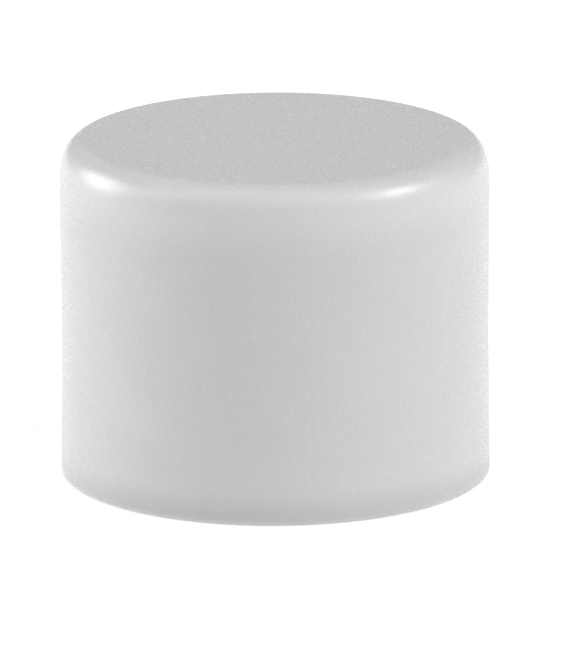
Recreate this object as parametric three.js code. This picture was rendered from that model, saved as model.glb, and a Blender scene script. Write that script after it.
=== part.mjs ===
// Slip cap for 1-1/4 inch rigid PVC pipe: one injection moulding, a cup with a flat closed end.
// Millimetres, +Z up. The origin is the centre of the open rim; the closed end is at the top.
import * as THREE from "three";

// Outside of the cup.
const OUTER_DIAMETER = 50.3;
const HEIGHT = 40.1;
const SHOULDER_REACH = 3.0; // how far the rounded shoulder comes in over the closed end
const SHOULDER_DROP = 5.4; // how far it comes down the side
const SHOULDER_EASE = 1.25; // 1 is a quarter of an ellipse; more leaves the side more gently
const RIM_EDGE_RADIUS = 0.6; // rounded outer edge of the open rim

// Tapered socket for a pipe 42.16 mm in outside diameter: loose at the mouth, tight at the stop.
const MOUTH_DIAMETER = 42.42;
const SEAT_DIAMETER = 42.04;
const SOCKET_DEPTH = 31.75;
const MOUTH_CHAMFER = 0.8;

// Recess between the pipe stop and the inner face of the closed end.
const RECESS_DIAMETER = 37.0;
const RECESS_CORNER_RADIUS = 1.8;
const END_WALL = 5.1;

// Fineness of the facets.
const SIDES = 96;
const SHOULDER_STEPS = 9;
const RECESS_CORNER_STEPS = 4;
const RIM_EDGE_STEPS = 3;

const QUARTER_TURN = Math.PI / 2;

// A stretch of ellipse in the (radius, height) plane, between two angles measured from outward.
function roundedCorner(centre, reach, fromAngle, toAngle, steps) {
  const points = [];
  for (let i = 0; i <= steps; i += 1) {
    const angle = fromAngle + ((toAngle - fromAngle) * i) / steps;
    const radius = centre.x + reach.x * Math.cos(angle);
    const height = centre.y + reach.y * Math.sin(angle);
    points.push(new THREE.Vector2(radius, height));
  }
  return points;
}

// Inside of the cup, from the middle of the closed end over the pipe stop and down the socket.
function insideProfile() {
  const recessRadius = RECESS_DIAMETER / 2;
  const mouthRadius = MOUTH_DIAMETER / 2;
  const innerFace = HEIGHT - END_WALL;
  const reach = new THREE.Vector2(RECESS_CORNER_RADIUS, RECESS_CORNER_RADIUS);
  const centre = new THREE.Vector2(recessRadius, innerFace).sub(reach);
  return [
    new THREE.Vector2(0, innerFace),
    ...roundedCorner(centre, reach, QUARTER_TURN, 0, RECESS_CORNER_STEPS),
    new THREE.Vector2(recessRadius, SOCKET_DEPTH),
    new THREE.Vector2(SEAT_DIAMETER / 2, SOCKET_DEPTH),
    new THREE.Vector2(mouthRadius, MOUTH_CHAMFER),
    new THREE.Vector2(mouthRadius + MOUTH_CHAMFER, 0),
  ];
}

// The shoulder, from the straight side to the flat of the closed end. It bends slowly at first.
function shoulder() {
  const points = [];
  for (let i = 0; i <= SHOULDER_STEPS; i += 1) {
    const turn = (QUARTER_TURN * i) / SHOULDER_STEPS;
    const inward = SHOULDER_REACH * (1 - Math.cos(turn)) ** SHOULDER_EASE;
    const down = SHOULDER_DROP * (1 - Math.sin(turn));
    points.push(new THREE.Vector2(OUTER_DIAMETER / 2 - inward, HEIGHT - down));
  }
  return points;
}

// Outside of the cup, from the open rim up the straight side and over the shoulder.
function outsideProfile() {
  const rimReach = new THREE.Vector2(RIM_EDGE_RADIUS, RIM_EDGE_RADIUS);
  const rimCentre = new THREE.Vector2(OUTER_DIAMETER / 2 - RIM_EDGE_RADIUS, RIM_EDGE_RADIUS);
  return [
    ...roundedCorner(rimCentre, rimReach, -QUARTER_TURN, 0, RIM_EDGE_STEPS),
    ...shoulder(),
    new THREE.Vector2(0, HEIGHT),
  ];
}

function whitePlastic() {
  return new THREE.MeshStandardMaterial({ color: 0xededec, roughness: 0.32, metalness: 0.0 });
}

// The whole cup is one turned outline. A lathe works about Y, so the cup is stood up on Z.
function capBody() {
  const outline = [...insideProfile(), ...outsideProfile()];
  const cup = new THREE.Mesh(new THREE.LatheGeometry(outline, SIDES), whitePlastic());
  cup.name = "cap_body";
  cup.rotation.x = QUARTER_TURN;
  return cup;
}

const pipeCap = new THREE.Group();
pipeCap.add(capBody());

export default pipeCap;
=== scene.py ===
"""Looks of a white PVC slip cap for pipe: the moulding, its material, the floor, light and camera."""

import math

import bpy
from mathutils import Matrix, Vector


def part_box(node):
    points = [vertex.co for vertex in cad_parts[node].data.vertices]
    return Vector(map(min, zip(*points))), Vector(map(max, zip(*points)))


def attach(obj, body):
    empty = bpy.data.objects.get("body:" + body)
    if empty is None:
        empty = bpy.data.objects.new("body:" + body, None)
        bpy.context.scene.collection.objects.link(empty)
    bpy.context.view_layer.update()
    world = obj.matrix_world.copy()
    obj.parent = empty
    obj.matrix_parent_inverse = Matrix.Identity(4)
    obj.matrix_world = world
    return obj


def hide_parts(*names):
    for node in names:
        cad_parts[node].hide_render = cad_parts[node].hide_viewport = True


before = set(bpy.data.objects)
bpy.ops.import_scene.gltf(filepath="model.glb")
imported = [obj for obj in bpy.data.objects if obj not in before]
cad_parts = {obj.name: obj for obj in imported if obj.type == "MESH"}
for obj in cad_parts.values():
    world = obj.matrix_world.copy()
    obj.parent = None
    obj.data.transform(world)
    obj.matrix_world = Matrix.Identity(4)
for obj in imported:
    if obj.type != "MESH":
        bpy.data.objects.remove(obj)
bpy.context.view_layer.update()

MM = 0.001
QUARTER_TURN = math.pi / 2

# The moulding, in metres. Its outer radius and height come from the frame.
LOWEST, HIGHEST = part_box("cap_body")
OUTER_RADIUS = HIGHEST.x
HEIGHT = HIGHEST.z
SHOULDER_REACH = 3.0 * MM
SHOULDER_DROP = 5.4 * MM
SHOULDER_EASE = 1.25  # 1 is a quarter of an ellipse; more leaves the side more gently
SIDE_SINK = 0.12 * MM  # the side draws in this far at mid-height as the plastic shrinks
RIM_EDGE = 0.6 * MM
MOUTH_RADIUS = 21.21 * MM
SEAT_RADIUS = 21.02 * MM
SOCKET_DEPTH = 31.75 * MM
MOUTH_CHAMFER = 0.8 * MM
RECESS_RADIUS = 18.5 * MM
RECESS_CORNER = 1.8 * MM
END_WALL = 5.1 * MM
INNER_FACE = HEIGHT - END_WALL
SHARP_EDGE = 0.2 * MM  # what a mould leaves on an edge that looks sharp

# Marks of the mould on the inner face: the gate stub in the middle and the ejector pins round it.
GATE_RADIUS = 1.5 * MM
GATE_HEIGHT = 0.35 * MM
GATE_FLARE = 0.25 * MM
EJECTOR_RADIUS = 2.0 * MM
EJECTOR_DEPTH = 0.12 * MM
EJECTOR_EDGE = 0.5 * MM
EJECTOR_CIRCLE = 11.0 * MM
EJECTOR_COUNT = 3

# Fineness of the mesh.
SIDES = 256
PLAIN_STEP = 0.85 * MM
MARKED_STEP = 0.3 * MM
SHOULDER_STEPS = 28
CORNER_STEPS = 6

# The plastic. Sizes are those of the marks, depths are how far the bump rises.
PVC_WHITE = 0.64
PVC_IOR = 1.5
PVC_ROUGHNESS = 0.26
PVC_SOCKET_ROUGHNESS = 0.42
PVC_LIGHT_REACH = 1.8 * MM  # how far light spreads inside the plastic, alike for red, green and blue
RIM_SHADE_HEIGHT = 4.5 * MM  # painted shade: the colour darkens a little towards the rim, standing in for shade near the floor
RIM_SHADE_WHITE = 0.84
PAINTED_LIGHT_WHITE = 1.075  # painted light: just under the closed end the colour is a little paler than the side, standing in for light from above
PAINTED_LIGHT_STARTS = HEIGHT - 9 * MM
PAINTED_LIGHT_FULL = HEIGHT - 2.5 * MM
PAINTED_LIGHT_FADES = HEIGHT - 2.1 * MM
PAINTED_LIGHT_ENDS = HEIGHT - 0.7 * MM
NOISE_LOW = 0.3  # nearly all of a noise pattern lies between these
NOISE_HIGH = 0.7
PVC_MOTTLE = 0.985  # how dark the flow mottle is at its darkest, next to the white
MOTTLE_SIZE = 9 * MM
RIPPLE_SIZE = 3.2 * MM
RIPPLE_DEPTH = 0.004 * MM
GRAIN_SIZE = 0.22 * MM
GRAIN_DEPTH = 0.0003 * MM
GRAIN_ROUGHNESS = 0.025
DRAW_LINE_WIDTH = 0.25 * MM
DRAW_LINE_LENGTH = 14 * MM
DRAW_LINE_DEPTH = 0.004 * MM
TURNING_PITCH = 0.35 * MM
TURNING_DEPTH = 0.0015 * MM
SCUFF_HEIGHT = 0.5 * MM
SCUFF_SIZE = 0.6 * MM
SCUFF_STARTS = 0.45  # the noise above which the rim is scuffed
SCUFF_FULL = 0.62
SCUFF_WHITE = 0.93
SCUFF_ROUGHNESS = 0.15

# The camera, in outer radii of the cap where it isn't in degrees.
CAMERA_ELEVATION = 14.7
CAMERA_DISTANCE = 55.0
CAMERA_ROLL = -0.24
FRAME_HEIGHT = 3.028
AIM_RIGHT = 0.0486
AIM_DOWN = 0.0977
SENSOR_LONG_SIDE = 36.0

# The floor, lit from below like the glass of a product table.
FLOOR_RADIUS = 8.0
FLOOR_WHITE = 0.4
FLOOR_GLOW = 0.7  # everywhere but under the cap

# The studio. Each soft light is a bright oval far away: the direction to its middle as degrees from
# +X towards +Y and degrees up, its half-width and half-height in degrees, how soft its edge is as a
# share of its size, and its brightness. The room adds its brightness everywhere.
ROOM_BRIGHTNESS = 0.05
LEAST_AHEAD = 0.001  # directions level with a light or behind it count as just ahead, far out of it
GROUND_BRIGHTNESS = 1.06  # below the horizon, past the edge of the floor, and much like the floor
GROUND_STARTS = -0.002  # sines of the angles above the horizon between which it comes in
GROUND_FULL = -0.01
SOFT_LIGHTS = {
    "left_panel": (160, 16.5, 15.5, 12.5, 0.97, 7.6),
    "right_panel": (350, 30, 18, 8, 0.97, 4.0),
    "right_lamp": (347, 33, 6, 6, 0.6, 12),
    "overhead_panel": (270, 68, 70, 26, 0.3, 1.62),
    "back_panel": (56, 20.5, 73.5, 17.3, 0.34, 0.26),
}


# ---------------------------------------------------------------- outline of the moulding


def eased(start, end, step):
    """Points along a straight line, both ends included, crowded towards each end off the axis."""
    count = max(2, round((end - start).length / step))
    points = []
    for i in range(count + 1):
        share = i / count
        if start.x == 0:
            share = math.sin(QUARTER_TURN * share)
        elif end.x == 0:
            share = 1 - math.cos(QUARTER_TURN * share)
        else:
            share = (1 - math.cos(math.pi * share)) / 2
        points.append(start.lerp(end, share))
    return points


def rounded(before, corner, after, reach_before, reach_after, steps, ease=1.0):
    """A quarter of an ellipse, sheared to the corner's angle, that meets both straights smoothly."""
    back = (before - corner).normalized() * reach_before
    onward = (after - corner).normalized() * reach_after
    points = []
    for i in range(steps + 1):
        turn = QUARTER_TURN * i / steps
        points.append(corner + back * (1 - math.sin(turn)) + onward * (1 - math.cos(turn)) ** ease)
    return points


def outline():
    """The section from the middle of the inner face, out over the rim, to the middle of the closed end.

    Each row is a corner's radius and height, how far apart the points are on the straight that
    follows it, how far its rounding reaches back and onward, its steps, and its ease.
    """
    gate_face = INNER_FACE - GATE_HEIGHT
    sharp = (SHARP_EDGE, SHARP_EDGE, CORNER_STEPS)
    shoulder = (SHOULDER_DROP, SHOULDER_REACH, SHOULDER_STEPS, SHOULDER_EASE)
    rows = [
        (0, gate_face, MARKED_STEP),
        (GATE_RADIUS, gate_face, MARKED_STEP, *sharp),
        (GATE_RADIUS + GATE_FLARE, INNER_FACE, MARKED_STEP, *sharp),
        (RECESS_RADIUS, INNER_FACE, PLAIN_STEP, RECESS_CORNER, RECESS_CORNER, 2 * CORNER_STEPS),
        (RECESS_RADIUS, SOCKET_DEPTH, PLAIN_STEP, *sharp),
        (SEAT_RADIUS, SOCKET_DEPTH, PLAIN_STEP, *sharp),
        (MOUTH_RADIUS, MOUTH_CHAMFER, PLAIN_STEP, *sharp),
        (MOUTH_RADIUS + MOUTH_CHAMFER, 0, PLAIN_STEP, *sharp),
        (OUTER_RADIUS, 0, PLAIN_STEP, RIM_EDGE, RIM_EDGE, CORNER_STEPS),
        (OUTER_RADIUS, HEIGHT, PLAIN_STEP, *shoulder),
        (0, HEIGHT),
    ]
    corners = [Vector((row[0], row[1])) for row in rows]
    points = [corners[0]]
    for i in range(1, len(rows)):
        bend = [corners[i]]
        if i < len(rows) - 1:
            bend = rounded(corners[i - 1], corners[i], corners[i + 1], *rows[i][3:])
        points += eased(points[-1], bend[0], rows[i - 1][2])[1:] + bend[1:]
    return points


# ---------------------------------------------------------------- mesh


def sunk_side(radius, height):
    """The outer side, drawn in by a shallow bow between the rim's edge and the shoulder."""
    low = RIM_EDGE
    high = HEIGHT - SHOULDER_DROP
    on_side = radius > OUTER_RADIUS - SHARP_EDGE and low < height < high
    if not on_side:
        return radius
    up = (height - low) / (high - low)
    return radius - SIDE_SINK * 4 * up * (1 - up)


def smooth_step(share):
    share = min(1.0, max(0.0, share))
    return share * share * (3 - 2 * share)


def ejector_dent(x, y, height):
    """How far the round ends of the ejector pins press the inner face in at this point."""
    if abs(height - INNER_FACE) > SHARP_EDGE / 10:
        return 0.0
    deepest = 0.0
    for k in range(EJECTOR_COUNT):
        angle = 2 * math.pi * (k + 0.5) / EJECTOR_COUNT
        away = math.hypot(x - EJECTOR_CIRCLE * math.cos(angle), y - EJECTOR_CIRCLE * math.sin(angle))
        inside = (EJECTOR_RADIUS - away) / EJECTOR_EDGE
        deepest = max(deepest, EJECTOR_DEPTH * smooth_step(inside))
    return deepest


def turned_mesh(name, section):
    """A closed body of revolution about Z. The section starts and ends on the axis."""
    rings = section[1:-1]
    vertices = [(0, 0, section[0].y)]
    for point in rings:
        radius = sunk_side(point.x, point.y)
        for k in range(SIDES):
            angle = 2 * math.pi * k / SIDES
            x = radius * math.cos(angle)
            y = radius * math.sin(angle)
            vertices.append((x, y, point.y + ejector_dent(x, y, point.y)))
    top = len(vertices)
    vertices.append((0, 0, section[-1].y))

    def at(ring, k):
        return 1 + ring * SIDES + k % SIDES

    outermost = len(rings) - 1
    faces = []
    for k in range(SIDES):
        faces.append((0, at(0, k + 1), at(0, k)))
        faces.append((top, at(outermost, k), at(outermost, k + 1)))
        for ring in range(outermost):
            faces.append((at(ring, k), at(ring, k + 1), at(ring + 1, k + 1), at(ring + 1, k)))
    mesh = bpy.data.meshes.new(name)
    mesh.from_pydata(vertices, [], faces)
    mesh.polygons.foreach_set("use_smooth", [True] * len(mesh.polygons))
    mesh.update()
    return mesh


def build_cap():
    cap = bpy.data.objects.new("moulded_cap", turned_mesh("moulded_cap", outline()))
    bpy.context.scene.collection.objects.link(cap)
    cap.data.materials.append(white_pvc())
    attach(cap, "root")
    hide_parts("cap_body")
    return cap


# ---------------------------------------------------------------- materials


def node(tree, kind, inputs, **settings):
    """A shader node, with each input either joined to another node's output or given a value."""
    made = tree.nodes.new("ShaderNode" + kind)
    for name, value in settings.items():
        setattr(made, name, value)
    for key, value in inputs.items():
        if isinstance(value, bpy.types.NodeSocket):
            tree.links.new(value, made.inputs[key])
        else:
            made.inputs[key].default_value = value
    return made


def sums(tree, operation, *values):
    return node(tree, "Math", dict(enumerate(values)), operation=operation).outputs[0]


def distance(tree, across, along):
    """How far a point is from the origin of a plane, from its two coordinates there."""
    squares = sums(tree, "ADD", sums(tree, "POWER", across, 2), sums(tree, "POWER", along, 2))
    return sums(tree, "SQRT", squares)


def noise(tree, place, size, detail):
    """Noise from 0 to 1 whose marks are about this many metres across."""
    return node(tree, "TexNoise", {"Vector": place, "Scale": 1 / size, "Detail": detail}).outputs[0]


def between(tree, value, low, high, at_low, at_high):
    """Carries a value from one range smoothly to another, and holds it at the ends."""
    inputs = {
        "Value": value,
        "From Min": low,
        "From Max": high,
        "To Min": at_low,
        "To Max": at_high,
    }
    return node(tree, "MapRange", inputs, interpolation_type="SMOOTHSTEP").outputs[0]


def raised(tree, height, depth, below=None):
    """A bump this deep, in metres, on top of the one below."""
    inputs = {"Height": height, "Distance": depth, "Strength": 1.0}
    if below:
        inputs["Normal"] = below
    return node(tree, "Bump", inputs).outputs[0]


def white_pvc():
    """Rigid white PVC: flow mottle, the mould's ripple and grain, marks of the core, a scuffed rim,
    painted shade towards the rim and painted light under the closed end.
    """
    material = bpy.data.materials.new("white_pvc")
    material.use_nodes = True
    tree = material.node_tree
    place = node(tree, "TexCoord", {}).outputs["Object"]
    apart = node(tree, "SeparateXYZ", {"Vector": place}).outputs
    radius = distance(tree, apart[0], apart[1])

    ring_middle = (MOUTH_RADIUS + OUTER_RADIUS) / 2
    within = between(tree, radius, MOUTH_RADIUS, ring_middle, 1, 0)
    under = between(tree, apart[2], INNER_FACE, HEIGHT - END_WALL / 2, 1, 0)
    inside = sums(tree, "MULTIPLY", within, under)
    on_face = sums(tree, "MULTIPLY", inside, between(tree, apart[2], SOCKET_DEPTH, INNER_FACE, 0, 1))
    at_rim = between(tree, apart[2], 0, SCUFF_HEIGHT, 1, 0)

    mottle = noise(tree, place, MOTTLE_SIZE, 3)
    ripple = noise(tree, place, RIPPLE_SIZE, 1)
    grain = noise(tree, place, GRAIN_SIZE, 3)
    scuff = between(tree, noise(tree, place, SCUFF_SIZE, 4), SCUFF_STARTS, SCUFF_FULL, 0, 1)
    scuff = sums(tree, "MULTIPLY", at_rim, scuff)
    stretched = node(
        tree,
        "VectorMath",
        {0: place, 1: (1 / DRAW_LINE_WIDTH, 1 / DRAW_LINE_WIDTH, 1 / DRAW_LINE_LENGTH)},
        operation="MULTIPLY",
    ).outputs[0]
    draw_lines = sums(tree, "MULTIPLY", inside, noise(tree, stretched, 1, 2))
    turning = sums(tree, "SINE", sums(tree, "MULTIPLY", radius, 2 * math.pi / TURNING_PITCH))
    turning = sums(tree, "MULTIPLY", turning, on_face)

    white = between(tree, mottle, NOISE_LOW, NOISE_HIGH, PVC_MOTTLE, 1)
    white = sums(tree, "MULTIPLY", white, PVC_WHITE)
    white = sums(tree, "MULTIPLY", white, between(tree, scuff, 0, 1, 1, SCUFF_WHITE))
    # Painted shade: the colour darkens towards the rim, where shade falls near the floor.
    rim_shade = between(tree, apart[2], 0, RIM_SHADE_HEIGHT, RIM_SHADE_WHITE, 1)
    white = sums(tree, "MULTIPLY", white, rim_shade)
    # Painted light: paler on the upper side and shoulder, fading back before the closed end.
    painted_light = between(tree, apart[2], PAINTED_LIGHT_STARTS, PAINTED_LIGHT_FULL, 1, PAINTED_LIGHT_WHITE)
    white = sums(tree, "MULTIPLY", white, painted_light)
    painted_light_fade = between(tree, apart[2], PAINTED_LIGHT_FADES, PAINTED_LIGHT_ENDS, 1, 1 / PAINTED_LIGHT_WHITE)
    white = sums(tree, "MULTIPLY", white, painted_light_fade)
    colour = node(tree, "CombineColor", {"Red": white, "Green": white, "Blue": white}).outputs[0]

    rough = between(tree, inside, 0, 1, PVC_ROUGHNESS, PVC_SOCKET_ROUGHNESS)
    uneven = between(tree, grain, NOISE_LOW, NOISE_HIGH, -GRAIN_ROUGHNESS, GRAIN_ROUGHNESS)
    rough = sums(tree, "ADD", rough, uneven)
    rough = sums(tree, "ADD", rough, sums(tree, "MULTIPLY", scuff, SCUFF_ROUGHNESS))

    surface = raised(tree, ripple, RIPPLE_DEPTH)
    surface = raised(tree, grain, GRAIN_DEPTH, surface)
    surface = raised(tree, draw_lines, DRAW_LINE_DEPTH, surface)
    surface = raised(tree, turning, TURNING_DEPTH, surface)

    shader = tree.nodes["Principled BSDF"]
    shader.inputs["IOR"].default_value = PVC_IOR
    shader.inputs["Subsurface Weight"].default_value = 1
    shader.inputs["Subsurface Radius"].default_value = (1, 1, 1)
    shader.inputs["Subsurface Scale"].default_value = PVC_LIGHT_REACH
    tree.links.new(colour, shader.inputs["Base Color"])
    tree.links.new(rough, shader.inputs["Roughness"])
    tree.links.new(surface, shader.inputs["Normal"])
    return material


def floor_material():
    """A matt white floor that also glows by itself, except under the cap."""
    material = bpy.data.materials.new("pale_floor")
    material.use_nodes = True
    tree = material.node_tree
    place = node(tree, "TexCoord", {}).outputs["Object"]
    apart = node(tree, "SeparateXYZ", {"Vector": place}).outputs
    radius = distance(tree, apart[0], apart[1])
    glow = between(tree, radius, MOUTH_RADIUS, OUTER_RADIUS - RIM_EDGE, 0, FLOOR_GLOW)
    shader = tree.nodes["Principled BSDF"]
    shader.inputs["Base Color"].default_value = (FLOOR_WHITE, FLOOR_WHITE, FLOOR_WHITE, 1)
    shader.inputs["Roughness"].default_value = 1
    shader.inputs["Specular IOR Level"].default_value = 0
    shader.inputs["Emission Color"].default_value = (1, 1, 1, 1)
    tree.links.new(glow, shader.inputs["Emission Strength"])
    return material


# ---------------------------------------------------------------- stage, light and camera


def build_floor():
    mesh = bpy.data.meshes.new("floor")
    corner = FLOOR_RADIUS
    mesh.from_pydata(
        [(-corner, -corner, 0), (corner, -corner, 0), (corner, corner, 0), (-corner, corner, 0)],
        [],
        [(0, 1, 2, 3)],
    )
    mesh.update()
    floor = bpy.data.objects.new("floor", mesh)
    bpy.context.scene.collection.objects.link(floor)
    floor.data.materials.append(floor_material())


def oval(tree, direction, azimuth, elevation, half_width, half_height, softness, brightness):
    """The brightness that one soft light adds in each direction."""
    turn = math.radians(azimuth)
    tilt = math.radians(elevation)
    ahead = (math.cos(tilt) * math.cos(turn), math.cos(tilt) * math.sin(turn), math.sin(tilt))
    across = (-math.sin(turn), math.cos(turn), 0)
    above = Vector(ahead).cross(across)

    def along(axis):
        return node(tree, "VectorMath", {0: direction, 1: axis}, operation="DOT_PRODUCT").outputs["Value"]

    def share(axis, half_angle):
        """How far out a direction is along an axis: 0 in the middle of the light, 1 at its edge."""
        slope = sums(tree, "DIVIDE", along(axis), depth)
        return sums(tree, "DIVIDE", slope, math.tan(math.radians(half_angle)))

    depth = sums(tree, "MAXIMUM", along(ahead), LEAST_AHEAD)
    out = distance(tree, share(across, half_width), share(above, half_height))
    return between(tree, out, 1 - softness, 1 + softness, brightness, 0)


def build_world():
    world = bpy.data.worlds.new("studio")
    world.use_nodes = True
    tree = world.node_tree
    direction = node(tree, "TexCoord", {}).outputs["Generated"]
    height = node(tree, "SeparateXYZ", {"Vector": direction}).outputs[2]
    ground = between(tree, height, GROUND_FULL, GROUND_STARTS, GROUND_BRIGHTNESS, 0)
    total = sums(tree, "ADD", ground, ROOM_BRIGHTNESS)
    for light in SOFT_LIGHTS.values():
        total = sums(tree, "ADD", oval(tree, direction, *light), total)
    tree.links.new(total, tree.nodes["Background"].inputs["Strength"])
    tree.nodes["Background"].inputs["Color"].default_value = (1, 1, 1, 1)
    bpy.context.scene.world = world


def build_camera():
    elevation = math.radians(CAMERA_ELEVATION)
    middle = Vector((0, 0, HEIGHT / 2))
    back = Vector((0, -math.cos(elevation), math.sin(elevation)))
    right = Vector((1, 0, 0))
    up = back.cross(right)
    place = middle + back * CAMERA_DISTANCE * OUTER_RADIUS
    aim = middle + OUTER_RADIUS * (right * AIM_RIGHT - up * AIM_DOWN)
    data = bpy.data.cameras.new("camera")
    data.sensor_width = SENSOR_LONG_SIDE
    data.lens = SENSOR_LONG_SIDE * CAMERA_DISTANCE / FRAME_HEIGHT
    camera = bpy.data.objects.new("camera", data)
    bpy.context.scene.collection.objects.link(camera)
    turn = (aim - place).to_track_quat("-Z", "Y").to_matrix()
    roll = Matrix.Rotation(math.radians(CAMERA_ROLL), 3, "Z")
    camera.matrix_world = Matrix.Translation(place) @ (turn @ roll).to_4x4()
    bpy.context.scene.camera = camera


build_camera()
build_cap()
build_floor()
build_world()
bpy.context.scene.view_settings.view_transform = "Standard"
